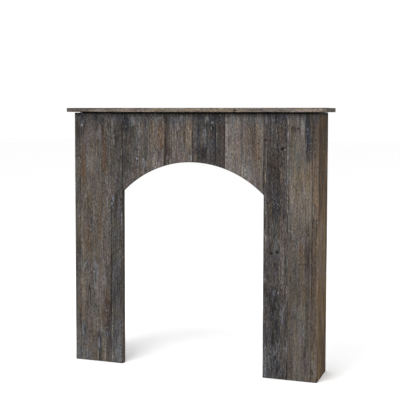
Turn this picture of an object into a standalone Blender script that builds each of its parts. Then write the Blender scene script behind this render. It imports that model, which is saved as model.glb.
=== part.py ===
"""Weathered wooden fireplace mantel.

Upright boards stand side by side and make two legs and a header with a segmental
arch over the fire opening. A deep side board closes each end, and a thin shelf lies
across the top on a rail and two cleats, a few millimetres clear of the uprights. The
side boards stand a little higher than the front ones, and a thin packer on each of
them fills the slot that is left under the shelf.

Units are metres. +Z is up and the front faces -Y. The origin is on the floor, at
the middle of the whole mantel's width and depth.
"""

import math

import bmesh
import bpy

# Overall body
BODY_WIDTH = 0.995
BOARD_HEIGHT = 1.000
SIDE_DEPTH = 0.167
SIDE_THICKNESS = 0.0235
SIDE_RISE = 0.0028
FRONT_THICKNESS = 0.022

# Fire opening, a segmental arch over straight jambs
OPENING_WIDTH = 0.577
SPRINGING_HEIGHT = 0.6945
ARCH_RISE = 0.1177
ARCH_CHORD = 0.012

# Board widths across the front, from left to right
LEFT_JAMB_BOARD_WIDTH = 0.051
RIGHT_JAMB_BOARD_WIDTH = 0.095
HEADER_BOARD_WIDTHS = {
    "header_board_1": 0.176,
    "header_board_2": 0.117,
    "header_board_3": 0.093,
    "header_board_4": 0.037,
}
LAST_HEADER_BOARD = "header_board_5"

# Shelf, and the frame under it
SHELF_THICKNESS = 0.016
SHELF_END_OVERHANG = 0.028
SHELF_FRONT_OVERHANG = 0.015
SHELF_CLEARANCE = 0.0055
RAIL_THICKNESS = 0.022
RAIL_HEIGHT = 0.080
CLEAT_THICKNESS = 0.022
PACKER_INSET = 0.002
PACKER_SETBACK = 0.042

# Worn edges, the gap between neighbouring pieces, and the least distance that counts
UPRIGHT_EASE = 0.0010
SHELF_EASE = 0.0020
GAP = 0.0003
SAME_PLACE = 1e-6

# Places that follow from the sizes above
DEPTH = SIDE_DEPTH + SHELF_FRONT_OVERHANG
BACK_Y = DEPTH / 2
FRONT_Y = BACK_Y - SIDE_DEPTH
FRONT_BOARD_BACK_Y = FRONT_Y + FRONT_THICKNESS
HALF_BODY = BODY_WIDTH / 2
HALF_OPENING = OPENING_WIDTH / 2
SIDE_INNER_X = HALF_BODY - SIDE_THICKNESS
SIDE_TOP = BOARD_HEIGHT + SIDE_RISE
SHELF_BOTTOM = BOARD_HEIGHT + SHELF_CLEARANCE
RAIL_TOP = SHELF_BOTTOM - GAP
RAIL_BOTTOM = RAIL_TOP - RAIL_HEIGHT
ARCH_RADIUS = (HALF_OPENING**2 + ARCH_RISE**2) / (2 * ARCH_RISE)
ARCH_CENTRE_Z = SPRINGING_HEIGHT + ARCH_RISE - ARCH_RADIUS

# Colour of each piece, as linear red, green and blue
WOOD_COLOURS = {
    "shelf": (0.250, 0.215, 0.180),
    "side_board_left": (0.085, 0.078, 0.070),
    "side_board_right": (0.105, 0.080, 0.055),
    "leg_board_left_outer": (0.115, 0.103, 0.092),
    "leg_board_left_jamb": (0.078, 0.078, 0.076),
    "leg_board_right_jamb": (0.066, 0.063, 0.062),
    "leg_board_right_outer": (0.125, 0.110, 0.094),
    "header_board_1": (0.110, 0.100, 0.091),
    "header_board_2": (0.120, 0.109, 0.098),
    "header_board_3": (0.072, 0.071, 0.070),
    "header_board_4": (0.058, 0.053, 0.051),
    "header_board_5": (0.158, 0.143, 0.128),
    "top_rail": (0.060, 0.048, 0.038),
    "end_cleat_left": (0.060, 0.048, 0.038),
    "end_cleat_right": (0.060, 0.048, 0.038),
    "end_packer_left": (0.060, 0.048, 0.038),
    "end_packer_right": (0.060, 0.048, 0.038),
}
WOOD_ROUGHNESS = 0.85


def clear_scene():
    for old in list(bpy.data.objects):
        bpy.data.objects.remove(old, do_unlink=True)


def wood_material(name):
    """Dull bare wood in the colour of one piece."""
    material = bpy.data.materials.new(name + "_wood")
    material.use_nodes = True
    shader = material.node_tree.nodes["Principled BSDF"]
    shader.inputs["Base Color"].default_value = (*WOOD_COLOURS[name], 1.0)
    shader.inputs["Roughness"].default_value = WOOD_ROUGHNESS
    shader.inputs["Metallic"].default_value = 0.0
    return material


def add_piece(name, mesh_maker):
    """Links a closed mesh to the scene as one named piece with its own wood."""
    mesh_maker.normal_update()
    mesh = bpy.data.meshes.new(name)
    mesh_maker.to_mesh(mesh)
    mesh_maker.free()
    mesh.materials.append(wood_material(name))
    piece = bpy.data.objects.new(name, mesh)
    bpy.context.scene.collection.objects.link(piece)
    return piece


def extruded(outline, y_front, y_back):
    """A solid from an outline of (x, z) points, run from the front to the back."""
    maker = bmesh.new()
    corners = [maker.verts.new((x, y_front, z)) for x, z in outline]
    front = maker.faces.new(corners)
    grown = bmesh.ops.extrude_face_region(maker, geom=[front])
    moved = [part for part in grown["geom"] if isinstance(part, bmesh.types.BMVert)]
    bmesh.ops.translate(maker, verts=moved, vec=(0, y_back - y_front, 0))
    bmesh.ops.recalc_face_normals(maker, faces=maker.faces)
    return maker


def ease(maker, width, chosen):
    """Takes the sharpness off the edges that chosen(start, end) picks."""
    edges = [edge for edge in maker.edges if chosen(edge.verts[0].co, edge.verts[1].co)]
    bmesh.ops.bevel(maker, geom=edges, offset=width, segments=1, affect="EDGES")


def is_upright(start, end):
    return abs(start.x - end.x) < SAME_PLACE and abs(start.y - end.y) < SAME_PLACE


def ease_front_arrises(maker):
    """Worn arrises run down both sides of an upright board's front face."""
    ease(
        maker,
        UPRIGHT_EASE,
        lambda start, end: is_upright(start, end) and start.y < FRONT_Y + GAP,
    )


def rectangle(x0, x1, z0, z1):
    return [(x0, z0), (x1, z0), (x1, z1), (x0, z1)]


def upright_board(name, x0, x1, y_back, top=BOARD_HEIGHT):
    """A board from the floor up, with its front face flush with the others."""
    maker = extruded(rectangle(x0, x1, 0.0, top), FRONT_Y, y_back)
    ease_front_arrises(maker)
    return add_piece(name, maker)


def arch_curve(x0, x1):
    """Points along the arch from x0 to x1, on chords of about ARCH_CHORD."""
    start = math.asin(x0 / ARCH_RADIUS)
    end = math.asin(x1 / ARCH_RADIUS)
    steps = max(2, math.ceil((end - start) * ARCH_RADIUS / ARCH_CHORD))
    angles = [start + (end - start) * step / steps for step in range(steps + 1)]
    return [
        (ARCH_RADIUS * math.sin(angle), ARCH_CENTRE_Z + ARCH_RADIUS * math.cos(angle))
        for angle in angles
    ]


def header_board(name, x0, x1):
    """A short upright over the opening, its lower end sawn to the arch."""
    outline = arch_curve(x0, x1) + [(x1, BOARD_HEIGHT), (x0, BOARD_HEIGHT)]
    maker = extruded(outline, FRONT_Y, FRONT_BOARD_BACK_Y)
    ease_front_arrises(maker)
    return add_piece(name, maker)


def make_side_boards():
    upright_board("side_board_left", -HALF_BODY, -SIDE_INNER_X, BACK_Y, SIDE_TOP)
    upright_board("side_board_right", SIDE_INNER_X, HALF_BODY, BACK_Y, SIDE_TOP)


def make_legs():
    """Each leg's two front boards fill the space from side board to opening."""
    left_seam = -HALF_OPENING - LEFT_JAMB_BOARD_WIDTH
    right_seam = HALF_OPENING + RIGHT_JAMB_BOARD_WIDTH
    spans = {
        "leg_board_left_outer": (-SIDE_INNER_X + GAP, left_seam),
        "leg_board_left_jamb": (left_seam + GAP, -HALF_OPENING),
        "leg_board_right_jamb": (HALF_OPENING, right_seam),
        "leg_board_right_outer": (right_seam + GAP, SIDE_INNER_X - GAP),
    }
    for name, (x0, x1) in spans.items():
        upright_board(name, x0, x1, FRONT_BOARD_BACK_Y)


def make_header():
    """Short boards fill the space over the opening, and the last takes the rest."""
    x0 = -HALF_OPENING + GAP
    for name, width in HEADER_BOARD_WIDTHS.items():
        header_board(name, x0, x0 + width)
        x0 += width + GAP
    header_board(LAST_HEADER_BOARD, x0, HALF_OPENING - GAP)


def make_shelf():
    """The shelf overhangs the ends and the front, and is flush at the back."""
    half_length = HALF_BODY + SHELF_END_OVERHANG
    top = SHELF_BOTTOM + SHELF_THICKNESS
    outline = rectangle(-half_length, half_length, SHELF_BOTTOM, top)
    maker = extruded(outline, FRONT_Y - SHELF_FRONT_OVERHANG, BACK_Y)

    def is_outer_top_edge(start, end):
        """The front and end edges of the top face."""
        on_top = min(start.z, end.z) > top - GAP
        at_back = min(start.y, end.y) > BACK_Y - GAP
        return on_top and not at_back

    ease(maker, SHELF_EASE, is_outer_top_edge)
    return add_piece("shelf", maker)


def add_at_end(name, x0, x1, z0, y_front):
    """A strip that runs back along one end, up to the shelf."""
    left, right = sorted((x0, x1))
    add_piece(name, extruded(rectangle(left, right, z0, RAIL_TOP), y_front, BACK_Y))


def make_support():
    """A rail, cleats inside the side boards, and packers on them bear the shelf."""
    rail_front = FRONT_BOARD_BACK_Y + GAP
    rail_back = rail_front + RAIL_THICKNESS
    reach = SIDE_INNER_X - GAP
    rail = extruded(rectangle(-reach, reach, RAIL_BOTTOM, RAIL_TOP), rail_front, rail_back)
    add_piece("top_rail", rail)
    outer = HALF_BODY - PACKER_INSET
    packer_front = FRONT_Y + PACKER_SETBACK
    for end, side in (("left", -1), ("right", 1)):
        inner = side * (reach - CLEAT_THICKNESS)
        add_at_end("end_cleat_" + end, inner, side * reach, RAIL_BOTTOM, rail_back + GAP)
        packer = (side * SIDE_INNER_X, side * outer)
        add_at_end("end_packer_" + end, *packer, SIDE_TOP + GAP, packer_front)


def main():
    clear_scene()
    make_side_boards()
    make_legs()
    make_header()
    make_support()
    make_shelf()


main()
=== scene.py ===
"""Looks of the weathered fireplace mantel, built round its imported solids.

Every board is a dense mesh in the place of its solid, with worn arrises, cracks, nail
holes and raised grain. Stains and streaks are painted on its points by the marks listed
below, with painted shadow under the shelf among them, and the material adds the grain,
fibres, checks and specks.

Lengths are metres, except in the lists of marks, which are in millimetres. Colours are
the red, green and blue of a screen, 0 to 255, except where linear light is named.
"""

import itertools
import math
import random
from collections import namedtuple

import bpy
import numpy as np
from mathutils import Matrix, Vector


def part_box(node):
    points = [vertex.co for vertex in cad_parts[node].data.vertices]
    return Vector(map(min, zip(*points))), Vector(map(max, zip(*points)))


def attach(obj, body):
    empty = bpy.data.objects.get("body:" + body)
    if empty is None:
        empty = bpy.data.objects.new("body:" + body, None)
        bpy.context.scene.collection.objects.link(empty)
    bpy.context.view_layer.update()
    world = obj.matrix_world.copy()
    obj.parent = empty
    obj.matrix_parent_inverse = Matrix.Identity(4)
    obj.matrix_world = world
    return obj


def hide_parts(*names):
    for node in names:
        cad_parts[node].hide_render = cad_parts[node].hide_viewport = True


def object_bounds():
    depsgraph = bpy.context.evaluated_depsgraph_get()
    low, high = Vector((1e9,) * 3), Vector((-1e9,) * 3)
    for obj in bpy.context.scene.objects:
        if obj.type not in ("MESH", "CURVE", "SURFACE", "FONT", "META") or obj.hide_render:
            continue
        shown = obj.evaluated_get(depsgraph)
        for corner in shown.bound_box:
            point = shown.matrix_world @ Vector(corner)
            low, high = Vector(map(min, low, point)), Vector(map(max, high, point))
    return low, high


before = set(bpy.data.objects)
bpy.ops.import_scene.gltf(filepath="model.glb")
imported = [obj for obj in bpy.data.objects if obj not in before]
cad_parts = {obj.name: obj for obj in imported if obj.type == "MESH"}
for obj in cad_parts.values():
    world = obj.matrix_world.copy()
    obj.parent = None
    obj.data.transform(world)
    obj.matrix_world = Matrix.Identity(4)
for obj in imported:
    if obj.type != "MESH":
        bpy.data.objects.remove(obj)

CAD_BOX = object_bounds()

# The camera, placed so that the render has the photograph's frame
FRAME_PIXELS = 400
FOCAL_PIXELS = 891.5
FRAME_RISE_PIXELS = 30.05
SENSOR_WIDTH = 36.0
CAMERA_PLACE = (1.1651, -3.2949, 0.9942)
CAMERA_YAW = 0.33728
CAMERA_PITCH_DOWN = 0.06156
CAMERA_ROLL = 0.00194

# The studio. The floor's grey is linear light, and WOOD_LIGHT is how much brighter
# than its own linear colour a front face shows
SKY_STRENGTH = 1.03
LAMP_PLACE = (-0.9, -2.6, 4.2)
LAMP_SIZE = 2.6
LAMP_POWER = 150.0
FLOOR_HALF_SIZE = 30.0
FLOOR_COLOUR = 0.955
FLOOR_ROUGHNESS = 0.9
FLOOR_GLOSS = 0.1
WOOD_LIGHT = 1.575

# Fineness of the boards' meshes. A rim takes up at most one part in RIM_PARTS of a side
ACROSS_SPACING = 0.0027
ALONG_SPACING = 0.0085
THICKNESS_SPACING = 0.0045
THIN_SIDE = 0.03
LEAST_SPACING = 0.0004
RIM_LINES = (0.0004, 0.0009, 0.0016, 0.0028, 0.0045, 0.0065)
RIM_PARTS = 3
DETAIL_LINES = (-1.0, -0.6, 0.0, 0.6, 1.0)
DETAIL_REACH = 0.7
LEAST_DETAIL = 0.007
CRISP_EDGE = 0.3

# Wear of the wood
ARRIS_RADIUS = 0.0011
ARRIS_VARIATION = 0.9
ARRIS_CELL = (0.03, 0.03, 0.03)
END_SHARE = 0.35
HOLLOW_DEPTH = 0.0006
GRAIN_DEPTH = 0.00025
FLATNESS_POWER = 8
SHELF_WEAR = 0.35
STRIP_WEAR = 0.2
RIM_FADE = 0.2
RUBBED_SHARPNESS = 5
RUBBED_STRENGTH = 0.55
SEAM_DIRT_WIDTH = 0.0022
SEAM_DIRT_SHARE = 0.62
SEAM_DIRT_SHARPNESS = 4
SEAM_DIRT_STRENGTH = 0.6

# Noise over a board's points: its cell across and along the grain, a number added to
# the board's seed, and octaves
POINT_NOISES = {
    "hollows": (0.05, 0.25, 10, 2),
    "ridges": (0.0055, 0.12, 20, 1),
    "cut_fibres": (0.004, 0.04, 30, 1),
    "stain_fibres": (0.004, 0.045, 40, 2),
    "rubbing": (0.02, 0.07, 50, 2),
}

# Noise in the wood's material: its cell across and along the grain, its detail, and an
# offset that sets it apart from the others
GRAIN_NOISES = {
    "patches": (0.034, 0.13, 2.0, 0),
    "bands": (0.011, 0.22, 2.0, 5),
    "long_streaks": (0.0048, 0.06, 2.0, 7),
    "short_streaks": (0.0026, 0.011, 2.0, 11),
    "fibres": (0.0009, 0.010, 2.0, 17),
    "hairs": (0.0004, 0.007, 1.0, 19),
    "warmth": (0.009, 0.06, 3.0, 23),
    "tint": (0.020, 0.12, 3.0, 29),
    "checks": (0.0018, 0.045, 1.0, 31),
    "clusters": (0.03, 0.06, 1.0, 37),
    "specks": (0.0018, 0.008, 0.0, 41),
    "flecks": (0.0022, 0.007, 0.0, 43),
    "ring_warp": (0.03, 0.22, 1.0, 47),
}
NOISE_ROUGHNESS = 0.55
NOISE_SPREAD = 0.2
NOISE_SHIFT = 50

# How strongly each noise shades the wood
SHADES = {
    "patches": 0.14,
    "bands": 0.20,
    "long_streaks": 0.34,
    "short_streaks": 0.54,
    "fibres": 0.58,
    "hairs": 0.20,
}

# The levels of a noise between which a flaw comes in
CHECK_LEVELS = (0.66, 0.76)
CLUSTER_LEVELS = (0.42, 0.62)
SPECK_LEVELS = (0.68, 0.78)
FLECK_LEVELS = (0.66, 0.78)
HUE_LEVELS = (0.32, 0.68)
MIDDLE_LEVELS = (0.3, 0.7)

# Factors on the wood's light, outside and inside late wood, checks, specks and saw marks
LATE_WOOD_SHADE = (1.03, 0.90)
CHECK_SHADE = (1.0, 0.50)
SPECK_SHADE = (1.0, 0.45)
SAW_SHADE = (1.0, 0.75)

# How far each of them lifts or lowers the surface in the bump
BUMP_SHARES = {
    "fibres": 0.5,
    "hairs": 0.3,
    "long_streaks": 0.5,
    "late_wood": 0.25,
    "checks": -0.8,
    "specks": -0.3,
    "saw_marks": 0.6,
}
BUMP_STRENGTH = 0.8
BUMP_DISTANCE = 0.0008

# Factors on linear light, between which the wood's hue wanders
COOL = (0.93, 1.0, 1.12, 1)
WARM = (1.07, 1.0, 0.85, 1)
MAUVE = (1.03, 0.975, 1.03, 1)
OLIVE = (0.98, 1.015, 0.96, 1)

FLECK_COLOUR = (140, 140, 144)
FLECK_STRENGTH = 0.6
WOOD_ROUGHNESS = (0.76, 0.92)
WOOD_GLOSS = 0.12

# Growth rings: their width, levels and warp, and the ranges of the pith's lean and place
RING_WIDTH = 0.0042
RING_LEVELS = (0.45, 0.95)
RING_WARP = 0.012
PITH_LEAN = (0.02, 0.05)
PITH_DEPTH = (0.03, 0.07)
PITH_SIDE = (-0.4, 0.4)

# Saw marks on rough faces run across the grain
SAW_SPACING = 0.004
SAW_LENGTH = 0.25

UP = 2
ALONG_X = 0
ALONG_Y = 1

FACES = {
    "left": (0, -1),
    "right": (0, 1),
    "front": (1, -1),
    "back": (1, 1),
    "under": (2, -1),
    "top": (2, 1),
}

# Stains and flaws, and painted shade: their colour, how ragged their edge is, and how deep they
# cut
Kind = namedtuple("Kind", "colour ragged depth")
KINDS = {
    # Black, for dark holes and spots, and for the painted shadow line along the boards' tops
    "black": Kind((20, 19, 20), 0.2, 0.0004),
    # Dark grey, for dirt and for painted shade under the shelf and on the side's top
    "soot": Kind((44, 42, 42), 1.0, 0.0),
    "ink": Kind((45, 47, 54), 1.0, 0.0),
    "slate": Kind((84, 86, 92), 1.0, 0.0),
    "sepia": Kind((50, 41, 37), 1.0, 0.0),
    "umber": Kind((56, 43, 28), 1.0, 0.0),
    "plum": Kind((72, 63, 61), 1.0, 0.0),
    "brown": Kind((90, 74, 61), 1.0, 0.0),
    "orange": Kind((102, 80, 63), 0.7, 0.0),
    "rust": Kind((92, 70, 55), 0.6, 0.0002),
    "honey": Kind((118, 95, 65), 1.0, 0.0),
    "olive": Kind((90, 80, 65), 1.0, 0.0),
    "moss": Kind((72, 73, 69), 1.0, 0.0),
    "tan": Kind((122, 107, 93), 1.0, 0.0),
    "mauve": Kind((110, 101, 99), 1.0, 0.0),
    "ash": Kind((132, 128, 124), 0.8, 0.0),
    "pale": Kind((122, 124, 130), 1.0, 0.0002),
    "white": Kind((158, 161, 168), 0.4, 0.0005),
    "chip": Kind((148, 148, 151), 0.4, 0.0008),
    "crack": Kind((26, 23, 22), 0.3, 0.0028),
    "nail": Kind((8, 8, 8), 0.0, 0.0035),
    "knot": Kind((66, 52, 44), 0.5, 0.0006),
}

# The sideways wander of a mark's middle, and the fall of its cover at its edge
WANDER_CELL = (1, 1, 0.045)
WANDER_SEED = 5
WANDER = 0.004
EDGE_REACH = 1.25
EDGE_SHARPNESS = 2.2
EDGE_RAGGEDNESS = 1.8

# Stains and cracks on the faces that the photograph doesn't show. A stain's length is
# so many times its width
CHANCE_STAINS = ("umber", "sepia", "brown", "tan", "slate", "olive", "plum", "honey")
CHANCE_WIDTHS = (0.005, 0.010, 0.022)
CHANCE_LENGTHS = (7, 20)
CHANCE_STRENGTHS = (0.15, 0.45)
STAINS_PER_CRACK = 6
CHANCE_CRACK_WIDTH = 0.0022
CHANCE_CRACK_HEIGHTS = (0.05, 0.14)
CHANCE_CRACK_STRENGTH = 0.8
LEAST_BACK_STAINS = 4
BACK_STAINS_PER_AREA = 100
OUTER_STAINS = 40
INNER_STAINS = 20

# Seeds: the first for a group of boards, or the first for their chance marks
FRONT_SEED = 10
SIDE_SEED = 30
SHELF_SEED = 40
FRAME_SEED = 50
BACK_MARK_SEED = 300
OUTER_MARK_SEED = 350
INNER_MARK_SEED = 360

# A mark lies at a distance across from the body's left edge, or from the front on a
# side face, and at a height up from the floor. Lean is its sideways run for each
# metre up.
Mark = namedtuple("Mark", "kind across up width height strength lean", defaults=(0.0,))


def read_marks(text):
    """The marks that a text lists, one to a line, without its headings.

    A line gives the kind, then across, up, width and height in millimetres, then the
    strength in percent, and then the lean of a mark that leans.
    """
    marks = []
    for line in text.strip().splitlines():
        if line.startswith("#"):
            continue
        kind, *numbers = line.split()
        place_and_size = [float(number) / 1000 for number in numbers[:4]]
        strength = float(numbers[4]) / 100
        lean = [float(number) for number in numbers[5:]]
        marks.append(Mark(kind, *place_and_size, strength, *lean))
    return marks


# The marks are placed where the photograph shows stains and flaws. Broad zones
# come first, under the others
ZONES = read_marks("""
soot 12 965 30 80 20
soot 12 900 22 80 22
ash 12 60 30 130 28
soot 90 968 170 75 22
sepia 90 900 170 90 14
sepia 112 800 100 160 14
sepia 134 250 50 300 20
sepia 134 840 46 200 11
sepia 134 650 44 80 9
sepia 90 560 50 120 13
brown 90 730 50 120 20
pale 183 90 60 170 14
ink 240 870 66 340 22
ash 360 810 50 60 20
soot 405 910 44 200 14
soot 241 870 62 320 12
soot 238 775 56 60 8
tan 483 935 32 70 28
ash 462 890 80 200 12
soot 572 910 44 160 36
sepia 530 848 50 56 36
mauve 540 905 34 50 25
soot 615 965 40 70 12
ash 658 880 54 320 25
ash 715 870 40 260 10
brown 762 890 46 160 36
ash 711 945 44 56 15
ash 711 785 44 40 18
soot 835 965 100 70 15
sepia 842 830 70 180 26
soot 828 700 56 180 28
pale 805 150 30 110 12
tan 866 350 28 100 18
mauve 867 540 26 500 20
soot 815 330 50 200 10
pale 835 65 100 140 16
mauve 866 110 30 200 22
soot 898 965 32 60 12
ash 915 825 66 180 15
tan 936 690 90 200 55
ash 932 660 90 130 28
sepia 928 390 90 180 9
ash 928 550 30 100 16
ash 928 190 34 200 17
sepia 957 450 30 110 12
tan 958 55 30 90 22
mauve 928 150 36 100 35
tan 985 730 26 260 62
brown 985 450 26 280 38
ash 985 75 26 170 30
""")

LEFT_LEG_MARKS = read_marks("""
# The top of the leg
sepia 12 935 18 90 45
ink 37 982 34 48 70
soot 33 984 12 20 55
pale 34 965 12 16 30
sepia 42 951 14 22 60
white 32.5 953 9 9 85
sepia 30 934 6 40 70
orange 31 830 9 160 65
orange 42 845 6 120 55
ash 24.5 880 4 100 45
orange 38 765 18 120 65
olive 72 845 18 150 40
soot 95 985 20 30 65
soot 107 973 12 18 50
pale 104 915 24 50 30
pale 55 795 5 30 40
sepia 121.5 945 7 36 75
rust 129 885 13 130 85
rust 130 815 15 110 85
sepia 136.5 885 3.5 120 85
sepia 121 790 4 70 75
white 124 762 4 6 60
sepia 152 947 16 26 65
pale 158 930 18 80 35
ash 151 913 10 12 60
white 173.5 914 6 7 75
ash 172 890 6 30 85
sepia 177 900 3 120 50
sepia 188 925 22 80 40
slate 188 983 30 26 50
sepia 204 930 5 80 70
ash 204 848 4 30 85
soot 207.5 850 4 300 80
sepia 192 800 8 50 50
soot 68 976 24 36 60
sepia 38 935 18 60 45
soot 98 945 26 50 35
sepia 122 972 26 34 50
soot 144 973 18 30 40
sepia 121.5 895 7 80 55
sepia 146 893 8 60 40
tan 166 875 10 110 35
ash 70 820 30 90 30
ash 23 800 8 90 35
sepia 10 832 14 50 60
soot 129 735 8 90 40
slate 90 735 24 90 35
brown 190 745 18 80 35
soot 203 870 10 60 40
sepia 10 943 12 50 50
plum 11 865 10 60 40
soot 11 735 10 60 35
ash 24.5 868 6 50 45
pale 22 972 8 40 35
soot 28 908 8 50 40
ash 25 790 6 50 40
olive 29 700 8 60 55
soot 45 862 8 40 35
soot 48 718 10 30 35
mauve 52 925 8 60 50
mauve 56 860 8 70 50
olive 50 800 8 50 50
mauve 42 692 8 30 50
brown 66 910 8 50 45
slate 68 722 14 60 40
pale 76 930 10 40 35
tan 80 790 10 60 35
soot 90 722 18 70 35
soot 104 895 10 34 60
tan 107 937 8 40 45
mauve 111 845 10 60 45
sepia 129 955 10 30 45
ash 131 922 4 40 40
brown 139 900 5 50 35
pale 158 915 8 30 45
ash 164 950 8 60 50
plum 168 885 6 30 60
tan 117 790 5 34 50
mauve 114 745 10 50 35
soot 124 690 10 70 35
ash 141 735 10 80 45
mauve 155 830 10 80 35
tan 167 715 8 80 35
soot 190 972 18 30 50
sepia 200 955 10 30 50
sepia 188 912 10 50 40
soot 194 865 10 40 45
sepia 198 812 8 50 50
ash 187 780 6 50 40
soot 194 740 12 60 55
ash 203 785 5 40 40
# The middle of the leg
olive 30 690 24 55 55
pale 45 668 7 24 60 0.4
mauve 36 648 18 35 40
olive 61 643 21 72 85
slate 76 570 12 100 50
soot 72 568 6 26 70
soot 66.5 585 3.5 80 60
ash 83 615 4 110 40
orange 108 565 12 130 50
brown 106 650 12 80 30
white 141 662 5 6 60
soot 144 643 5 12 45
white 141 632 6 7 65
white 162 642 8 9 85
pale 166.5 664 9 22 75
pale 160 672 6 12 60
mauve 140 530 16 60 55
mauve 138 490 10 50 40
orange 57 495 14 110 80
soot 68 488 4 30 50
pale 65 490 4 10 55
tan 36 475 12 140 50
soot 11 465 18 130 50
sepia 158.5 470 8 150 60
sepia 183 660 16 70 50
sepia 183 624 7 12 60
slate 200 620 10 110 45
ash 204.5 600 3.5 16 75
ash 205 576 3 16 65
nail 203 659 5 6 100
white 208.5 430 4 8 90
ash 20 610 10 110 30
olive 73 630 12 80 50
sepia 64 575 12 60 35
soot 62 530 22 40 30
slate 80 500 12 80 60
soot 90 518 8 50 30
tan 100 470 12 60 50
olive 109 435 12 60 40
sepia 70 425 10 60 35
sepia 41 401 10 14 50
sepia 54 395 8 60 40
sepia 79 387 8 40 45
pale 97 385 14 50 35
pale 93 345 10 40 40
pale 124 370 12 80 30
soot 138 390 8 34 40
pale 144 645 7 44 45
ash 167 580 8 60 30
soot 203 645 10 50 45
brown 160 685 10 50 50
soot 148 645 7 40 45
tan 18 545 12 90 40
tan 34 525 8 60 40
orange 54 600 12 50 35
olive 62 560 12 50 45
brown 81 500 10 70 60
soot 74 460 7 34 45
tan 96 465 7 50 40
soot 82 388 10 34 45
soot 100 400 10 24 40
ash 34 420 8 34 40
pale 36 380 10 40 40
mauve 47 345 10 70 60
soot 56 372 6 50 50
tan 116 460 10 50 40
soot 122 350 8 30 50
soot 136 510 7 40 40
mauve 163 490 8 60 40
ash 142 410 8 40 50
soot 163 385 6 60 40
soot 204 490 6 50 50
soot 200 600 6 50 45
# The foot of the leg
pale 42 392 9 34 75 0.5
white 40 384 3 20 55 0.6
pale 86 393 14 24 60
pale 82 363 12 12 60
soot 60 300 6 36 70
crack 58.5 263 2.2 105 90
crack 66.5 255 2 70 80
pale 60.5 255 3 70 70
pale 84 325 4 80 65
crack 87 335 2 50 80
soot 82 276 4 22 70
sepia 85 268 6 16 60
ink 87 225 6 30 60
pale 90 207 6 12 60
tan 32 250 32 190 50
mauve 110 220 18 50 45
brown 137 225 21 170 75 0.1
sepia 151.5 215 10 190 70 0.06
crack 156 270 2 270 90
ash 162 170 4 150 55
sepia 69 148 6 12 60
slate 34 125 30 52 60
soot 41 123 10 24 45
pale 27 122 12 30 50 0.3
white 31 107 3 10 60 -1.2
white 120.5 123.5 4 19 100 -0.9
ink 137 109 8 24 75
soot 104 100 13 45 70
crack 110.5 50 3 105 100
soot 109 50 6 100 60
pale 102 72 6 46 90
soot 102 48 8 12 70
crack 104.5 20 2.5 40 90
pale 99 30 4 50 60
tan 122 60 10 120 55
ash 128 30 4 60 60
soot 146 60 18 110 40
mauve 60 70 40 50 35
slate 22 40 36 80 40
ink 175 270 12 95 55
soot 190 300 14 60 40
pale 189 30 32 70 55
ink 170 30 6 40 65
ink 193 45 5 34 75
brown 207 300 4 560 50
tan 19 270 10 150 50
soot 4 260 8 170 40
ash 120 290 16 120 35
ash 105 270 12 90 25
tan 111 165 16 60 45
soot 150 140 22 100 60
soot 124 109 10 24 40
slate 47 85 16 34 60
pale 42 22 50 50 30
pale 106 60 5 50 50
slate 108 40 6 90 60
ash 160.5 25 6 70 45
pale 192 30 11 60 45
soot 152 118 14 44 50
soot 170 45 8 60 40
sepia 135 340 8 80 35
tan 153 285 7 60 40
soot 48 85 12 22 40
sepia 137 205 12 60 30
slate 90 335 5 70 40
black 62.5 296 3.5 22 55
black 63.5 245 3.5 30 40
pale 30 118 12 16 40
white 48 397 4 12 55
pale 98 390 10 14 45
pale 139 110 4 26 50
ash 130 45 6 90 60
pale 167 22 8 44 50
pale 190 85 20 50 30
pale 92 320 10 70 45
pale 132 320 14 60 30
soot 125 255 10 50 35
sepia 138 213 10 30 50
ink 163 240 6 50 60
ash 59 232 8 40 50
ink 87 215 7 34 45
tan 101 280 8 60 40
""")

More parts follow.
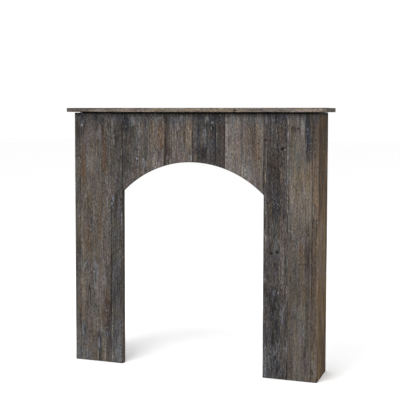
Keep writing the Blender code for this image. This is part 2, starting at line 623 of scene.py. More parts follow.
HEADER_MARKS = read_marks("""
# The first board
ink 223 962 26 75 85
black 220.5 984 6 12 80
black 231 980 7 11 75
black 222.5 936 7 16 60
pale 247 980 20 24 30
white 223 947 5 6 75
sepia 244 925 6 42 75
olive 290 945 14 60 45
moss 308 900 10 220 60
soot 307 960 3 80 50
chip 273 822 8.5 8 100
chip 295.5 819.5 8.5 8.5 100
soot 274.5 819 5 8 50
pale 300 812 11 12 50
sepia 339 917 3 90 85 -0.11
orange 333.5 935 10 80 55
orange 372 922 22 115 80
tan 381 900 5 180 55
mauve 350 815 55 50 50
brown 323 795 13 50 50
sepia 309 782 8 24 80
brown 260 780 10 60 45
mauve 238 740 40 70 35
soot 252 955 18 60 35
soot 232 905 24 70 35
soot 263 895 12 80 30
soot 249 838 10 40 35
soot 224 790 30 110 50
soot 252 785 14 50 30
soot 286 815 11 50 35
sepia 303 950 12 50 45
pale 309 803 10 36 40
soot 333 972 24 28 45
tan 328 870 9 80 50
tan 355 925 10 90 50
ash 347 806 16 44 50
soot 368 838 16 30 35
soot 222 952 10 20 60
ink 236 982 10 24 50
pale 253 965 14 40 55
ink 244 948 8 34 50
sepia 246 905 6 34 50
ash 281 940 7 60 50
sepia 288 895 8 50 45
sepia 300 940 8 34 40
sepia 302 870 10 34 45
ash 279 862 6 40 50
soot 285 840 7 30 40
soot 285 785 12 40 35
soot 319 980 10 24 50
tan 342 900 7 110 50
soot 360 825 10 50 55
soot 374 875 10 50 45
# The second board
sepia 393.5 905 14 190 85
slate 420 975 22 40 50
pale 456 985 13 24 85
sepia 440.5 920 6 24 70
brown 468 930 13 90 45
tan 488 910 20 130 65
sepia 501 915 3 100 85
white 497.5 834 4 34 80
sepia 410 855 3 40 50
mauve 440 840 55 50 35
sepia 404 890 12 150 60
soot 403 970 22 50 40
ash 424 835 14 70 50
mauve 456 870 10 60 45
tan 465 835 22 40 60
sepia 476 955 8 50 40
orange 387 915 4 90 50
mauve 402 950 10 30 40
sepia 414 845 10 50 55
ash 424 915 7 50 35
soot 465 975 10 26 50
ash 456 875 7 50 40
sepia 470 885 8 60 50
ash 490 890 10 70 45
orange 494 845 8 40 60
tan 500.5 965 5 60 60
# The third board
mauve 511 910 12 150 60
tan 513 828 10 34 75
ink 526 920 12 160 50
soot 545 850 21 50 80
pale 564 980 10 26 60
pale 553 925 12 36 35
pale 582 966 9 9 80
black 585.5 944 8 12 90
nail 585.5 945 6 7 100
white 578 944 4 8 90
ink 593.5 930 6 160 95
soot 509 975 10 40 40
soot 543 970 22 36 60
pale 549 905 16 70 25
slate 575 870 24 70 35
soot 580 978 16 22 50
soot 512 858 8 40 55
tan 540 880 12 34 35
pale 556 975 8 30 50
mauve 571 920 10 40 40
soot 586 930 10 30 50
soot 575 850 10 40 45
# The fourth board
soot 600 985 12 30 50
sepia 612 930 6 120 70
brown 624 940 10 50 40
soot 615 972 22 32 60
ash 600 910 5 90 35
soot 609 855 8 40 45
# The fifth board
ash 638.5 880 9 230 65
olive 650 900 10 40 35
tan 686 860 14 100 45
brown 733 930 26 110 50
sepia 731 945 4 50 40 -0.3
sepia 742 900 4 60 40 -0.2
brown 720 840 14 60 40
tan 765 900 18 140 75
knot 765 832 15 8 70
ash 715 780 5 24 80
plum 670 855 10 90 30
ash 692 825 10 80 50
ash 730 765 18 40 50
sepia 750 905 9 150 50
brown 716 920 12 110 45
plum 727 860 14 50 40
slate 768 970 14 44 50
crack 785 870 2.2 260 40
soot 668 820 12 50 35
sepia 686 812 7 50 35
pale 654 860 10 70 30
plum 665 955 8 50 30
ash 688 950 12 60 35
ink 724 974 20 34 35
soot 745 945 12 40 40
slate 769 930 12 80 40
orange 753 905 8 100 40
ash 777 960 6 80 50
ash 700 785 14 40 35
white 713 777 6 30 50
slate 742 775 12 60 45
ash 757 740 10 30 40
soot 765 850 10 34 35
soot 742 852 8 40 35
""")

RIGHT_LEG_MARKS = read_marks("""
# The top of the jamb board
pale 797.5 975 12 44 45
sepia 811 950 4 130 70
black 834 986 6 12 90
soot 832 970 6 22 70
nail 792.5 901 7 7.5 100
ash 795.5 845 4 95 45
ash 793.5 760 4 34 60
ink 824 910 7 11 80
ink 825.5 885 10 40 40
black 859 869 13 10 95
nail 859 869 9 7 100
soot 859 874 10 6 60
white 867 866.5 7.5 6 70
mauve 856 884 12 8 40
pale 867 946.5 3 8 60 -2
plum 870 920 10 50 60
olive 854 945 20 50 35
sepia 838 800 60 100 50
ink 831 740 12 100 45
ink 835.5 672 5 75 90
soot 835 660 70 130 35
soot 840 978 12 40 45
sepia 861 975 22 36 45
sepia 862 852 16 50 50
brown 854 908 14 50 35
pale 829 875 8 40 35
soot 812 738 12 50 40
soot 797 745 7 50 35
soot 846 715 16 60 35
brown 789 850 6 280 50
plum 808 770 14 60 40
soot 871.5 885 5 60 50
olive 866 835 8 50 40
slate 830 920 10 40 30
ink 838 655 10 60 50
tan 856 775 10 60 35
# The middle of the jamb board
black 818.5 476.5 10 11 95
nail 818.5 476.5 6.5 6.5 100
black 838 484 13 16 100
nail 838 484 10 11.5 100
ink 815 45 12 90 45
mauve 845 398 10 40 35
ink 848 425 6 20 45
soot 974 195 8 50 40
orange 988 130 10 100 40
soot 957 440 6 34 45
ink 822 315 10 44 35
slate 900 115 8 60 30
mauve 971 30 6 60 85
slate 832 462 8 18 45
pale 829 488 12 18 40
pale 835 569 3 8 60 -1.8
ash 795.5 640 4 55 50
ash 795.5 520 4 80 45
white 795 670 4 6 60
brown 865 545 12 50 45
mauve 862 440 12 130 85
ash 798 560 10 90 35
pale 838 515 18 50 35
soot 842 655 16 50 50
sepia 834 415 10 60 35
mauve 857 520 10 100 50
mauve 853 410 10 80 45
tan 812 635 14 70 40
brown 850 600 16 50 35
soot 864 605 10 40 35
ash 813 550 7 50 50
tan 853 535 8 70 40
ash 850 445 10 60 40
soot 873 545 6 60 45
soot 868 385 6 70 35
soot 874 335 6 50 45
ink 810 315 16 40 40
# The foot of the jamb board
mauve 857 370 12 70 65
ash 793 383 4 30 70
soot 823 305 34 90 75
ink 828 180 46 190 50
black 824 235 3.5 70 60
sepia 826 165 7 70 75
pale 830 330 10 22 50
white 845 328 5 7 60
pale 860 220 7 30 50
pale 834 97 4 30 60 0.7
ink 835 50 34 65 60
slate 801 60 16 90 55
crack 879.5 40 3 85 100
sepia 888.5 40 3 60 30
soot 805 315 12 60 45
soot 828 328 10 30 40
soot 849 320 7 30 45
black 814.5 250 10 60 35
pale 796 65 14 110 50
pale 858 262 10 60 55
ink 818 75 10 80 40
pale 841 115 8 34 45
# The seam between the jamb board and the outer board
ash 879.5 830 5 370 90
white 878.5 926 6 15 85
white 880 350 5 10 80
ash 880 330 3 300 55
pale 880.5 135 4 34 70
# The top of the outer board
sepia 896.5 943 16 32 45
black 918 945 8 9 100
nail 918 945 6 6 100
soot 922 930 5 12 50
ash 915.5 955 5 90 45
sepia 912 930 2.5 150 50
ash 934 945 10 70 30
ink 953.5 935 22 160 90
chip 952 942 6 5 80
soot 970 930 12 140 45
soot 976 930 10 130 40
tan 956 770 26 150 55
tan 970 745 8 110 60
brown 960 770 3 65 65
brown 979 810 4 65 65
brown 923 730 3 75 50
sepia 898 935 20 50 40
pale 932 945 14 70 30
ash 917 975 10 34 40
soot 957 850 24 60 70
soot 966 985 10 40 40
plum 918 805 16 60 30
# The middle of the outer board
tan 915 650 36 130 35
soot 947 658 4 9 70
sepia 976.5 620 5 95 70 0.1
white 992 600 7 8 100
soot 988 605.5 6 5 80
ink 989 565 4 75 75
brown 990 520 5 30 60
chip 884 565 5 5 80
chip 893 562 6 6 95
pale 910 550 5 10 45
chip 936.5 538 7 5 90
soot 930 538 5 6 70
sepia 893 535 4 30 50
orange 933 510 8 30 50
olive 935 450 20 130 55
plum 959 460 13 140 80
sepia 954.5 470 3 140 50
ash 882 600 5 90 55
sepia 893 465 14 90 40
soot 892 360 14 60 35
pale 912 525 10 60 45
pale 900 550 10 30 35
sepia 954 565 12 40 60
sepia 949 465 8 130 65
tan 961 635 12 90 50
sepia 957 355 18 80 50
soot 890 525 8 36 40
tan 893 600 10 60 30
slate 906 625 8 80 30
tan 913 540 8 40 45
mauve 923 600 10 70 35
soot 940 550 10 50 35
orange 932 480 14 90 50
sepia 893 400 8 40 50
sepia 929 320 7 60 50
orange 942 330 10 100 60
tan 941 390 8 60 40
tan 970 330 6 60 40
ash 976.5 645 6 50 50
ink 990.5 537 6 40 60
soot 980 440 10 80 40
plum 983 385 12 120 35
# The foot of the outer board
plum 955 250 10 160 60
ink 948 90 11 180 45
ink 909 240 8 26 65
olive 915 190 9 34 60
mauve 928 170 18 110 50
orange 980 120 9 60 35
soot 978 35 7 16 75
soot 974.5 44 6 8 60
mauve 968 65 5 34 65
soot 893 315 14 60 40
soot 898 50 16 80 35
ash 881 110 5 100 50
soot 954 170 10 80 50
soot 952 80 10 80 35
mauve 970 60 7 60 50
plum 981 920 14 160 60
tan 993 440 7 900 85
""")
FRONT_MARKS = ZONES + LEFT_LEG_MARKS + HEADER_MARKS + RIGHT_LEG_MARKS

# A bluish wash runs along the boards' tops. The dark bands along their tops are painted shadow of
# the shelf, and the boards are darker along their feet
BLUE_WASH = read_marks("slate 500 990 1400 50 35")
SHELF_SHADOW_AND_FOOT_WASHES = read_marks("""
soot 500 1000 1400 22 55
black 500 1002 1400 9 85
soot 500 0 1400 6 60
""")

# The outer face of the right side board. The umber and the dark mark at its top back, 142 and 143
# across, are painted shadow of the shelf
RIGHT_SIDE_MARKS = read_marks("""
umber 28 890 58 250 55
umber 85 850 60 210 50
umber 140 105 52 240 55
umber 142 930 70 180 65
umber 138 430 46 260 20
umber 60 745 110 80 22
umber 18 845 34 140 45
umber 105 905 30 70 45
soot 40 965 36 60 35
slate 135 800 24 60 30
soot 90 665 22 90 22
honey 70 480 150 280 45
honey 60 130 90 160 32
orange 82 350 56 110 25
orange 46 410 18 90 45
sepia 52 290 22 160 40
sepia 105 425 20 60 35
sepia 105 350 40 50 20
soot 112 195 28 100 14
soot 42 60 26 60 30
ash 6 50 10 90 35
tan 95 570 20 60 40
tan 128 680 20 50 35
tan 40 500 80 200 30
umber 20 810 16 360 50
umber 96 860 18 260 50
soot 143 940 50 140 25
ash 95 857 22 5 80
tan 50 500 60 280 35
tan 110 420 50 200 30
brown 70 360 20 240 45
sepia 45 250 18 34 55
white 157 386 16 7 95
pale 90 222 26 34 30
sepia 150 640 14 160 40
sepia 150 80 14 140 40
crack 121 720 2 160 70
crack 62 120 2 120 70
""")

# The shelf's front edge is darker along its top and at its left end, where the dark line along
# its lower edge is painted shade of the gap under the shelf
SHELF_EDGE_MARKS = read_marks("""
brown 500 1022 1500 5.5 65
sepia 110 1020.5 400 6.5 70
soot 45 1006 120 5 75
soot 1020 1012 14 18 45
olive -22 1013 30 18 20
soot 38 1014 110 18 62
tan 450 1010 460 12 40
olive 140 1013 90 16 25
mauve 320 1014 120 14 30
olive 560 1013 100 16 25
sepia 676 1013 10 12 85
slate 785 1013 20 12 45
mauve 870 1013 90 14 25
""")

# Colours of each board's faces
BARE_BACK = (96, 82, 68)
SAWN_EDGE = (66, 58, 52)
WORN_ARRIS = (126, 118, 110)

BOARD_TONES = {
    "side_board_left": (87, 82, 77),
    "leg_board_left_outer": (95, 88, 83),
    "leg_board_left_jamb": (75, 72, 70),
    "header_board_1": (92, 86, 81),
    "header_board_2": (95, 89, 84),
    "header_board_3": (72, 69, 68),
    "header_board_4": (70, 65, 63),
    "header_board_5": (107, 99, 94),
    "leg_board_right_jamb": (77, 73, 71),
    "leg_board_right_outer": (98, 91, 84),
    "side_board_right": (90, 80, 70),
}
SIDE_FACE_TONE = (116, 91, 60)
JAMB_FACE_TONE = (90, 80, 72)
SHELF_TOP_TONE = (98, 90, 82)
SHELF_EDGE_TONE = (129, 118, 108)
SHELF_END_TONE = (94, 86, 78)
# Near black: the rail, cleats and packers take this as painted shade of the gap under the shelf
FRAME_GAP_SHADE_TONE = (30, 26, 23)

# How strongly the grain shades a board, where that isn't 1
GRAIN_CONTRASTS = {
    "leg_board_left_jamb": 1.12,
    "header_board_1": 1.08,
    "header_board_3": 1.05,
    "leg_board_right_jamb": 1.12,
    "leg_board_right_outer": 0.85,
    "side_board_right": 0.80,
}

# The gap on a board's left. A mark whose middle lies in it is on that board
BOARD_GAP = 0.0003

# Factors that mix a whole-numbered place and a seed into a repeatable number
PLACE_FACTORS = (73856093, 19349663, 83492791)
SEED_FACTOR = 2654435761
MIX_STEPS = ((15, 739982445), (12, 695872825))
LAST_SHIFT = 15
HASH_LIMIT = 0xFFFFFFFF


def linear(colour):
    """The linear light of a screen colour."""
    share = np.asarray(colour, float) / 255
    return np.where(share <= 0.04045, share / 12.92, ((share + 0.055) / 1.055) ** 2.4)


def wood_colour(colour):
    """The wood's own colour, whose front face shows as the given one in this light."""
    return linear(colour) / WOOD_LIGHT


def smooth_step(share):
    share = np.clip(share, 0.0, 1.0)
    return share * share * (3 - 2 * share)


def scattered(places, seed):
    """A repeatable number from 0 to 1 for each whole-numbered place."""
    mixed = np.full(places.shape[:-1], seed * SEED_FACTOR)
    for axis, factor in enumerate(PLACE_FACTORS):
        mixed = mixed ^ (places[..., axis] * factor)
    mixed = mixed & HASH_LIMIT
    for shift, factor in MIX_STEPS:
        mixed = ((mixed ^ (mixed >> shift)) * factor) & HASH_LIMIT
    return (mixed ^ (mixed >> LAST_SHIFT)) / HASH_LIMIT


def noise(points, cell, seed, octaves=1):
    """Smooth noise from 0 to 1, in cells of the given size along x, y and z."""
    total = np.zeros(len(points))
    weight = 0.0
    for octave in range(octaves):
        place = points * 2**octave / np.asarray(cell)
        corner = np.floor(place).astype(np.int64)
        part = smooth_step(place - corner)
        level = np.zeros(len(points))
        for step in itertools.product((0, 1), repeat=3):
            share = np.prod(np.where(step, part, 1 - part), axis=1)
            level += share * scattered(corner + np.array(step), seed + octave)
        total += level * 0.5**octave
        weight += 0.5**octave
    return total / weight


def grain_cell(axis, across, along):
    """A noise cell that is longer along the grain."""
    cell = [across, across, across]
    cell[axis] = along
    return cell


def grid_lines(low, high, spacing, details):
    """Places from low to high, closer at both rims and round each small detail."""
    count = max(2, round((high - low) / spacing) + 1)
    places = list(np.linspace(low, high, count))
    rim = [place for place in RIM_LINES if place < (high - low) / RIM_PARTS]
    places += [low + place for place in rim] + [high - place for place in rim]
    for centre, reach in details:
        places += [centre + reach * step for step in DETAIL_LINES]
    kept = [low]
    for place in sorted(places):
        if place - kept[-1] >= LEAST_SPACING and high - place >= LEAST_SPACING:
            kept.append(place)
    return np.array(kept + [high])


def block_skin(lines):
    """The grid points on a block's six faces, and the quads that join them."""
    counts = [len(places) for places in lines]
    on_skin = np.zeros(counts, bool)
    for axis in range(3):
        ends = [slice(None)] * 3
        ends[axis] = (0, -1)
        on_skin[tuple(ends)] = True
    number = np.full(counts, -1)
    number[on_skin] = np.arange(on_skin.sum())
    points = np.stack(np.meshgrid(*lines, indexing="ij"), -1)[on_skin]
    quads = []
    for axis, side in itertools.product(range(3), (0, -1)):
        face = np.take(number, side, axis=axis)
        ring = [face[:-1, :-1], face[1:, :-1], face[1:, 1:], face[:-1, 1:]]
        if (side == -1) == (axis == 1):
            ring.reverse()
        quads.append(np.stack(ring, -1).reshape(-1, 4))
    return points, np.concatenate(quads)


def unit(vectors):
    return vectors / np.linalg.norm(vectors, axis=1)[:, None]


def wear_edges(points, low, high, grain, seed):
    """Rounds a block's edges unevenly, and its sawn ends less.

    Returns the points and their outward normals.
    """
    rough = noise(points, ARRIS_CELL, seed, octaves=2)
    radius = ARRIS_RADIUS * (1 + ARRIS_VARIATION * (2 * rough - 1))
    radius = np.minimum(radius, min(high - low) / RIM_PARTS)
    radius = np.repeat(radius[:, None], 3, axis=1)
    radius[:, grain] *= END_SHARE
    core = np.clip(points, np.array(low) + radius, np.array(high) - radius)
    outward = unit((points - core) / radius)
    return core + outward * radius, unit(outward / radius)


def face_share(normals, face):
    """How far each point belongs to a face. The shares of all six add up to 1."""
    axis, sign = FACES[face]
    return np.clip(normals[:, axis] * sign, 0, 1) ** 2


def face_places(points, face):
    """Where points lie on an upright face: across it, and up it."""
    if face in ("front", "back"):
        return points[:, 0] - BODY_LEFT, points[:, 2]
    return points[:, 1] - FRONT_Y, points[:, 2]


def mark_cover(mark, across, up, fibres):
    """How far a mark covers each place. Its ragged edge follows the fibres."""
    ragged = KINDS[mark.kind].ragged
    level = np.stack([np.full_like(up, mark.across), np.zeros_like(up), up], -1)
    wander = (noise(level, WANDER_CELL, WANDER_SEED) - 0.5) * WANDER * ragged
    side = across - mark.across - wander - mark.lean * (up - mark.up)
    reach = np.hypot(side / (mark.width / 2), (up - mark.up) / (mark.height / 2))
    crisp = (EDGE_REACH - reach) * EDGE_SHARPNESS
    return smooth_step(crisp + ragged * (fibres - 0.5) * EDGE_RAGGEDNESS) * mark.strength


class Board:
    """A piece of wood that stands for one of the CAD nodes."""

    def __init__(self, name, grain, seed, tones, marks=(), wear=1.0):
        self.name = name
        self.grain = grain
        self.wear = wear
        self.seed = seed
        self.tones = tones
        self.marks = list(marks)
        self.low, self.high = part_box(name)

    def lines(self):
        """Grid lines along x, y and z, with more round the small or crisp marks."""
        sizes = self.high - self.low
        spacing = [THICKNESS_SPACING if size < THIN_SIDE else ACROSS_SPACING for size in sizes]
        spacing[self.grain] = ALONG_SPACING
        details = [[], [], []]
        for face, mark in self.marks:
            for axis, centre, reach in self.mark_spans(face, mark):
                if reach < LEAST_DETAIL or KINDS[mark.kind].ragged < CRISP_EDGE:
                    details[axis].append((centre, reach))
        return [
            grid_lines(self.low[axis], self.high[axis], spacing[axis], details[axis])
            for axis in range(3)
        ]

    def mark_spans(self, face, mark):
        """The axis, centre and reach of a mark in both directions on its face."""
        if face in ("front", "back"):
            across_axis, across = 0, mark.across + BODY_LEFT
        else:
            across_axis, across = 1, mark.across + FRONT_Y
        run = abs(mark.lean) * mark.height / 2
        yield across_axis, across, mark.width * DETAIL_REACH + run
        yield 2, mark.up, mark.height * DETAIL_REACH

    def fit(self, points):
        """Fits the block's points to the board's outline."""
        return points

    def build(self):
        points, quads = block_skin(self.lines())
        points, normals = wear_edges(points, self.low, self.high, self.grain, self.seed)
        points = self.fit(points)
        depth = self.relief(points, normals)
        tone = self.paint(points, normals)
        points = points - normals * depth[:, None]
        mesh = bpy.data.meshes.new(self.name + "_wood")
        mesh.from_pydata(points.tolist(), [], quads.tolist())
        mesh.shade_smooth()
        add_colours(mesh, "tone", tone)
        add_numbers(mesh, "sawn", face_share(normals, "back"))
        contrast = GRAIN_CONTRASTS.get(self.name, 1.0)
        material = WoodMaterial(self.name + "_wood", self.grain, self.seed, contrast).make()
        mesh.materials.append(material)
        piece = bpy.data.objects.new(self.name + "_wood", mesh)
        bpy.context.scene.collection.objects.link(piece)
        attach(piece, "root")
        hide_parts(self.name)

    def noise(self, points, name):
        """One of the listed noises, drawn out along this board's grain."""
        across, along, seed, octaves = POINT_NOISES[name]
        cell = grain_cell(self.grain, across, along)
        return noise(points, cell, self.seed + seed, octaves)

    def relief(self, points, normals):
        """How deep the worn surface lies below the board's true faces.

        Level faces stay true, because they bear on other pieces.
        """
        hollows = self.noise(points, "hollows")
        ridges = self.noise(points, "ridges")
        depth = HOLLOW_DEPTH * hollows + GRAIN_DEPTH * (1 - ridges)
        flat = np.max(np.abs(normals), axis=1) ** FLATNESS_POWER
        depth = depth * flat * (1 - normals[:, UP] ** 2) * self.wear
        fibres = self.noise(points, "cut_fibres")
        for face, mark in self.marks:
            if KINDS[mark.kind].depth:
                cover = mark_cover(mark, *face_places(points, face), fibres)
                depth += cover * KINDS[mark.kind].depth * face_share(normals, face)
        return depth

    def paint(self, points, normals):
        """The colour of each point, before the material's own grain."""
        tone = np.zeros((len(points), 3))
        for face in FACES:
            share = face_share(normals, face)[:, None]
            tone += share * wood_colour(self.tones.get(face, self.tones["front"]))
        tone = self.wear_paint(tone, points, normals)
        fibres = self.noise(points, "stain_fibres")
        for face, mark in self.marks:
            cover = mark_cover(mark, *face_places(points, face), fibres)
            cover = (cover * face_share(normals, face))[:, None]
            tone = tone + (wood_colour(KINDS[mark.kind].colour) - tone) * cover
        return tone

    def wear_paint(self, tone, points, normals):
        """Arrises are rubbed pale in places, and dirt lies beside the seams in others."""
        rim = np.clip((1 - np.max(np.abs(normals), axis=1)) / RIM_FADE, 0, 1)
        place = self.noise(points, "rubbing")
        rubbed = rim * smooth_step((place - 0.5) * RUBBED_SHARPNESS) * RUBBED_STRENGTH
        tone = tone + (wood_colour(WORN_ARRIS) - tone) * rubbed[:, None]
        if self.grain == UP:
            side = np.minimum(points[:, 0] - self.low[0], self.high[0] - points[:, 0])
            dirty = smooth_step((SEAM_DIRT_SHARE - place) * SEAM_DIRT_SHARPNESS)
            dirt = np.exp(-side / SEAM_DIRT_WIDTH) * dirty * SEAM_DIRT_STRENGTH
            tone = tone * (1 - dirt)[:, None]
        return tone


class HeaderBoard(Board):
    """A short board over the opening, whose lower end follows the arch."""

    def fit(self, points):
        fitted = points.copy()
        under = ARCH_CENTRE_Z + np.sqrt(ARCH_RADIUS**2 - points[:, 0] ** 2)
        share = (points[:, 2] - self.low[2]) / (self.high[2] - self.low[2])
        fitted[:, 2] = under + share * (self.high[2] - under)
        return fitted


def add_colours(mesh, name, colours):
    """Stores a colour at each point, with full opacity."""
    opaque = np.concatenate([np.clip(colours, 0, 1), np.ones((len(colours), 1))], axis=1)
    layer = mesh.attributes.new(name, "FLOAT_COLOR", "POINT")
    layer.data.foreach_set("color", opaque.astype(np.float32).ravel())


def add_numbers(mesh, name, numbers):
    layer = mesh.attributes.new(name, "FLOAT", "POINT")
    layer.data.foreach_set("value", numbers.astype(np.float32))


class Nodes:
    """Short calls for building a material's nodes."""

    def __init__(self, name):
        self.material = bpy.data.materials.new(name)
        self.material.use_nodes = True
        self.tree = self.material.node_tree
        self.shader = self.tree.nodes["Principled BSDF"]

    def add(self, kind, inputs=(), **settings):
        made = self.tree.nodes.new("ShaderNode" + kind)
        for key, value in settings.items():
            setattr(made, key, value)
        for socket, value in dict(inputs).items():
            self.feed(made.inputs[socket], value)
        return made

    def feed(self, socket, value):
        if isinstance(value, bpy.types.NodeSocket):
            self.tree.links.new(value, socket)
        else:
            socket.default_value = value

    def attribute(self, name, output):
        return self.add("Attribute", attribute_name=name).outputs[output]

    def math(self, operation, first, second=0.0):
        made = self.add("Math", operation=operation)
        self.feed(made.inputs[0], first)
        self.feed(made.inputs[1], second)
        return made.outputs[0]

    def ranged(self, value, levels, results, smooth=False):
        """Takes a value from one range to another, and no further."""
        made = self.add("MapRange", interpolation_type="SMOOTHSTEP" if smooth else "LINEAR")
        sockets = ("Value", "From Min", "From Max", "To Min", "To Max")
        for socket, setting in zip(sockets, (value, *levels, *results)):
            self.feed(made.inputs[socket], setting)
        return made.outputs["Result"]

    def vary(self, value, contrast):
        """A factor about 1 from noise about 0.5."""
        levels = (0.5 - NOISE_SPREAD, 0.5 + NOISE_SPREAD)
        return self.ranged(value, levels, (1 - contrast, 1 + contrast))

    def chained(self, operation, parts):
        """Joins all the parts by one operation, from first to last."""
        result = parts[0]
        for part in parts[1:]:
            result = self.math(operation, result, part)
        return result

    def mixed(self, share, first, second, blend="MIX"):
        made = self.add("Mix", data_type="RGBA", blend_type=blend)
        self.feed(made.inputs["Factor"], share)
        self.feed(made.inputs[6], first)
        self.feed(made.inputs[7], second)
        return made.outputs[2]

    def noise(self, place, sizes, detail, **settings):
        """Noise in cells of the given size along x, y and z."""
        scale = [1 / size for size in sizes]
        mapping = self.add("Mapping", {"Vector": place, "Scale": scale, **settings})
        inputs = {"Vector": mapping.outputs[0], "Scale": 1.0, "Detail": detail}
        return self.add("TexNoise", inputs)


class WoodMaterial(Nodes):
    """Weathered wood: grain, fibres, checks, specks and rings over the painted tone."""

    def __init__(self, name, grain, seed, contrast):
        super().__init__(name)
        self.grain = grain
        self.contrast = contrast
        self.place = self.add("TexCoord").outputs["Object"]
        self.pick = random.Random(seed)
        self.shift = [self.pick.uniform(-NOISE_SHIFT, NOISE_SHIFT) for _ in range(3)]

    def streaks(self, name):
        """One of the listed noises, drawn out along the grain, from 0 to 1 about 0.5."""
        across, along, detail, offset = GRAIN_NOISES[name]
        sizes = grain_cell(self.grain, across, along)
        location = [part + offset for part in self.shift]
        made = self.noise(self.place, sizes, detail, Location=location)
        made.inputs["Roughness"].default_value = NOISE_ROUGHNESS
        return made.outputs[0]

    def peaks(self, name, levels, smooth=True):
        """Flaws, from 0 to 1, where one of the noises is high."""
        return self.ranged(self.streaks(name), levels, (0, 1), smooth)

    def saw_marks(self):
        """Marks of the saw, on the rough faces only."""
        sizes = [SAW_SPACING if axis == self.grain else SAW_LENGTH for axis in range(3)]
        cuts = self.noise(self.place, sizes, 1.0).outputs[0]
        return self.math("MULTIPLY", cuts, self.attribute("sawn", "Fac"))

    def late_wood(self):
        """Late wood, from 0 to 1, on rings round a pith that leans behind the face."""
        lean = self.pick.uniform(*PITH_LEAN) * self.pick.choice((-1, 1))
        pith = [0.0, self.pick.uniform(*PITH_DEPTH), 0.0]
        side_axis = 2 if self.grain == ALONG_X else (self.grain + 1) % 3
        pith[side_axis] += self.pick.uniform(*PITH_SIDE)
        parts = self.add("SeparateXYZ", {"Vector": self.place}).outputs
        run = self.math("MULTIPLY", parts[self.grain], lean)
        warp = self.math("MULTIPLY", self.streaks("ring_warp"), RING_WARP)
        squares = []
        for axis in range(3):
            if axis != self.grain:
                offset = self.math("SUBTRACT", parts[axis], pith[axis])
                offset = self.math("ADD", offset, run)
                squares.append(self.math("MULTIPLY", offset, offset))
        distance = self.math("SQRT", self.math("ADD", *squares))
        rings = self.math("DIVIDE", self.math("ADD", distance, warp), RING_WIDTH)
        return self.ranged(self.math("FRACT", rings), RING_LEVELS, (0, 1), smooth=True)

    def hue(self, name, first, second):
        """A factor on the colour that wanders between two."""
        share = self.ranged(self.streaks(name), HUE_LEVELS, (0, 1))
        return self.mixed(share, first, second)

    def make(self):
        noises = {name: self.streaks(name) for name in SHADES}
        noises["late_wood"] = self.late_wood()
        noises["checks"] = self.peaks("checks", CHECK_LEVELS)
        noises["specks"] = self.peaks("specks", SPECK_LEVELS)
        noises["saw_marks"] = self.saw_marks()
        self.colour(noises)
        self.surface(noises)
        return self.material

    def colour(self, noises):
        """Shades the painted tone, turns its hue, and scatters pale flecks on it."""
        factors = [self.vary(noises[name], SHADES[name] * self.contrast) for name in SHADES]
        factors += [
            self.ranged(noises["late_wood"], (0, 1), LATE_WOOD_SHADE),
            self.ranged(noises["checks"], (0, 1), CHECK_SHADE),
            self.ranged(noises["specks"], (0, 1), SPECK_SHADE),
            self.ranged(noises["saw_marks"], MIDDLE_LEVELS, SAW_SHADE),
        ]
        shade = self.chained("MULTIPLY", factors)
        shaded = self.add("VectorMath", {"Scale": shade}, operation="SCALE")
        self.feed(shaded.inputs[0], self.attribute("tone", "Color"))
        colour = shaded.outputs[0]
        for factor in (self.hue("warmth", COOL, WARM), self.hue("tint", MAUVE, OLIVE)):
            colour = self.mixed(1.0, colour, factor, "MULTIPLY")
        flecks = self.peaks("flecks", FLECK_LEVELS)
        clusters = self.peaks("clusters", CLUSTER_LEVELS, smooth=False)
        share = self.chained("MULTIPLY", [flecks, clusters, FLECK_STRENGTH])
        colour = self.mixed(share, colour, (*wood_colour(FLECK_COLOUR), 1))
        self.feed(self.shader.inputs["Base Color"], colour)

    def surface(self, noises):
        """Sets the gloss, and the bump of the grain."""
        rough = self.ranged(noises["short_streaks"], MIDDLE_LEVELS, WOOD_ROUGHNESS)
        self.feed(self.shader.inputs["Roughness"], rough)
        self.shader.inputs["Specular IOR Level"].default_value = WOOD_GLOSS
        heights = [self.math("MULTIPLY", noises[name], BUMP_SHARES[name]) for name in BUMP_SHARES]
        inputs = {"Strength": BUMP_STRENGTH, "Distance": BUMP_DISTANCE}
        bump = self.add("Bump", {**inputs, "Height": self.chained("ADD", heights)})
        self.feed(self.shader.inputs["Normal"], bump.outputs[0])


def make_camera():
    data = bpy.data.cameras.new("camera")
    data.sensor_width = SENSOR_WIDTH
    data.lens = SENSOR_WIDTH * FOCAL_PIXELS / FRAME_PIXELS
    data.shift_y = -FRAME_RISE_PIXELS / FRAME_PIXELS
    camera = bpy.data.objects.new("camera", data)
    turn = Matrix.Rotation(CAMERA_YAW, 4, "Z")
    tip = Matrix.Rotation(math.pi / 2 - CAMERA_PITCH_DOWN, 4, "X")
    roll = Matrix.Rotation(CAMERA_ROLL, 4, "Z")
    camera.matrix_world = Matrix.Translation(CAMERA_PLACE) @ turn @ tip @ roll
    bpy.context.scene.collection.objects.link(camera)
    bpy.context.scene.camera = camera


def make_light():
    """An even white sky, and one soft lamp from the upper left."""
    world = bpy.data.worlds.new("studio")
    world.use_nodes = True
    sky = world.node_tree.nodes["Background"]
    sky.inputs["Color"].default_value = (1, 1, 1, 1)
    sky.inputs["Strength"].default_value = SKY_STRENGTH
    bpy.context.scene.world = world
    data = bpy.data.lights.new("lamp", "AREA")
    data.size = LAMP_SIZE
    data.energy = LAMP_POWER
    lamp = bpy.data.objects.new("lamp", data)
    lamp.location = LAMP_PLACE
    middle = (CAD_BOX[0] + CAD_BOX[1]) / 2
    lamp.rotation_euler = (middle - Vector(LAMP_PLACE)).to_track_quat("-Z", "Y").to_euler()
    bpy.context.scene.collection.objects.link(lamp)
    bpy.context.scene.view_settings.view_transform = "Standard"


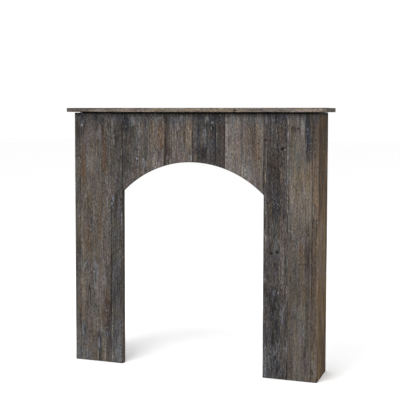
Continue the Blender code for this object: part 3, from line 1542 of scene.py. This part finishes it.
def make_floor():
    mesh = bpy.data.meshes.new("floor")
    reach = FLOOR_HALF_SIZE
    corners = [(-reach, -reach), (reach, -reach), (reach, reach), (-reach, reach)]
    mesh.from_pydata([(x, y, CAD_BOX[0].z) for x, y in corners], [], [(0, 1, 2, 3)])
    nodes = Nodes("floor_paint")
    nodes.shader.inputs["Base Color"].default_value = (*[FLOOR_COLOUR] * 3, 1)
    nodes.shader.inputs["Roughness"].default_value = FLOOR_ROUGHNESS
    nodes.shader.inputs["Specular IOR Level"].default_value = FLOOR_GLOSS
    mesh.materials.append(nodes.material)
    floor = bpy.data.objects.new("floor", mesh)
    bpy.context.scene.collection.objects.link(floor)


def front_marks(name):
    """The washes, with the painted shadow of the shelf, and the marks whose middle lies on this
    board.
    """
    low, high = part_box(name)
    start, end = low.x - BODY_LEFT, high.x - BODY_LEFT
    own = [mark for mark in FRONT_MARKS if start - BOARD_GAP <= mark.across <= end]
    on_board = [mark for mark in own if mark.up >= low.z]
    return [("front", mark) for mark in BLUE_WASH + on_board + SHELF_SHADOW_AND_FOOT_WASHES]


def chance_marks(face, across_range, up_range, seed, count):
    """Stains for a face that the photograph doesn't show, with a few cracks."""
    pick = random.Random(seed)
    marks = []
    for _ in range(count):
        across, up = pick.uniform(*across_range), pick.uniform(*up_range)
        width = pick.choice(CHANCE_WIDTHS)
        height = width * pick.uniform(*CHANCE_LENGTHS)
        strength = pick.uniform(*CHANCE_STRENGTHS)
        marks.append(Mark(pick.choice(CHANCE_STAINS), across, up, width, height, strength))
    for _ in range(count // STAINS_PER_CRACK):
        across, up = pick.uniform(*across_range), pick.uniform(*up_range)
        height = pick.uniform(*CHANCE_CRACK_HEIGHTS)
        size = (CHANCE_CRACK_WIDTH, height)
        marks.append(Mark("crack", across, up, *size, CHANCE_CRACK_STRENGTH))
    return [(face, mark) for mark in marks]


def front_tones(name):
    tones = dict.fromkeys(("left", "right", "top", "under"), SAWN_EDGE)
    tones["front"] = BOARD_TONES[name]
    tones["back"] = BARE_BACK
    return tones


def make_front_boards():
    """The four leg boards and the five boards over the opening."""
    names = [name for name in BOARD_TONES if name.startswith(("leg", "header"))]
    for number, name in enumerate(names):
        kind = HeaderBoard if name.startswith("header") else Board
        low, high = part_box(name)
        reach = (low.x - BODY_LEFT, high.x - BODY_LEFT)
        area = (high.x - low.x) * (high.z - low.z)
        count = LEAST_BACK_STAINS + round(area * BACK_STAINS_PER_AREA)
        back = chance_marks("back", reach, (low.z, high.z), BACK_MARK_SEED + number, count)
        tones = front_tones(name)
        if name.endswith("jamb"):
            tones["left"] = tones["right"] = JAMB_FACE_TONE
        kind(name, UP, FRONT_SEED + number, tones, front_marks(name) + back).build()


def make_side_boards():
    """The deep end boards, warmer on their broad outer faces."""
    ends = (("side_board_left", "left", "right"), ("side_board_right", "right", "left"))
    for number, (name, outer, inner) in enumerate(ends):
        tones = front_tones(name)
        tones[outer] = SIDE_FACE_TONE
        tones[inner] = BARE_BACK
        low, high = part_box(name)
        area = ((0.0, high.y - low.y), (low.z, high.z))
        marks = front_marks(name)
        if name == "side_board_right":
            # The right side's outer face also takes the painted shadow of the shelf along its top
            marks += [(outer, mark) for mark in RIGHT_SIDE_MARKS + SHELF_SHADOW_AND_FOOT_WASHES]
        else:
            marks += chance_marks(outer, *area, OUTER_MARK_SEED, OUTER_STAINS)
        marks += chance_marks(inner, *area, INNER_MARK_SEED + number, INNER_STAINS)
        Board(name, UP, SIDE_SEED + number, tones, marks).build()


def make_shelf():
    """The thin top board, with a paler front edge."""
    tones = {
        "front": SHELF_EDGE_TONE,
        "left": SHELF_END_TONE,
        "right": SHELF_END_TONE,
        "back": BARE_BACK,
        "top": SHELF_TOP_TONE,
        "under": SAWN_EDGE,
    }
    marks = [("front", mark) for mark in SHELF_EDGE_MARKS]
    Board("shelf", ALONG_X, SHELF_SEED, tones, marks, SHELF_WEAR).build()


def make_support():
    """The rail, the cleats and the packers that carry the shelf, painted near black as the shade
    in the gap under it.
    """
    tones = {"front": FRAME_GAP_SHADE_TONE}
    Board("top_rail", ALONG_X, FRAME_SEED, tones).build()
    strips = ("end_cleat_left", "end_cleat_right", "end_packer_left", "end_packer_right")
    for number, name in enumerate(strips, 1):
        Board(name, ALONG_Y, FRAME_SEED + number, tones, wear=STRIP_WEAR).build()


def arch_from_frame():
    """The arch's radius and the height of its centre, from two points on it.

    The first two boards over the opening touch it at their lower left corners, and
    its centre is at the middle of the mantel.
    """
    first, second = (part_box(name)[0] for name in ("header_board_1", "header_board_2"))
    squares = first.x**2 + first.z**2 - second.x**2 - second.z**2
    centre = squares / (2 * (first.z - second.z))
    return math.hypot(first.x, first.z - centre), centre


BODY_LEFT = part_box("side_board_left")[0].x
FRONT_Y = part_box("side_board_left")[0].y
ARCH_RADIUS, ARCH_CENTRE_Z = arch_from_frame()

make_camera()
make_light()
make_floor()
make_front_boards()
make_side_boards()
make_shelf()
make_support()
